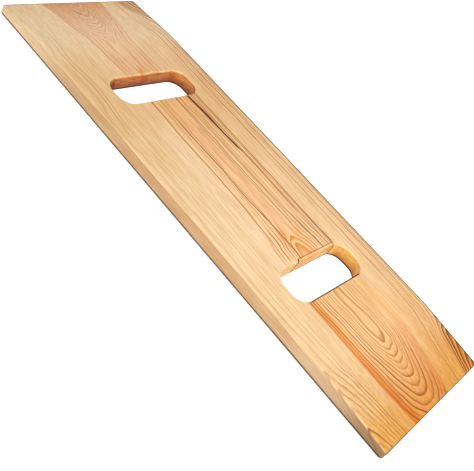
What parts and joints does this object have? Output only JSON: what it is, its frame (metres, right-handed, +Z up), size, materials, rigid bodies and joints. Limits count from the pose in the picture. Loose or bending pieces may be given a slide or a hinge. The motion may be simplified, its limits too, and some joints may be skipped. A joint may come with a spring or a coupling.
{
  "type": "transfer board",
  "caption": "Flat pine board with thinned ends, rounded edges and a hand slot near each end, for sliding a seated person from one seat to another.",
  "frame": {"origin": "middle of the flat underside, on the surface that the board lies on", "axes": "+X along the board, +Y across it from the front long edge to the back one, +Z up through its thickness"},
  "size_m": [0.6096, 0.192, 0.0178],
  "materials": {
    "front_stave_pine": "clear satin lacquer over sanded sapwood",
    "back_stave_pine": "clear satin lacquer over sanded sapwood",
    "centre_stave_pine": "clear satin lacquer over sanded heartwood"
  },
  "bodies": {
    "root": {"front_side_stave": "front_stave_pine", "back_side_stave": "back_stave_pine", "centre_stave_left_end": "centre_stave_pine", "centre_stave_middle": "centre_stave_pine", "centre_stave_right_end": "centre_stave_pine"}
  },
  "joints": []
}
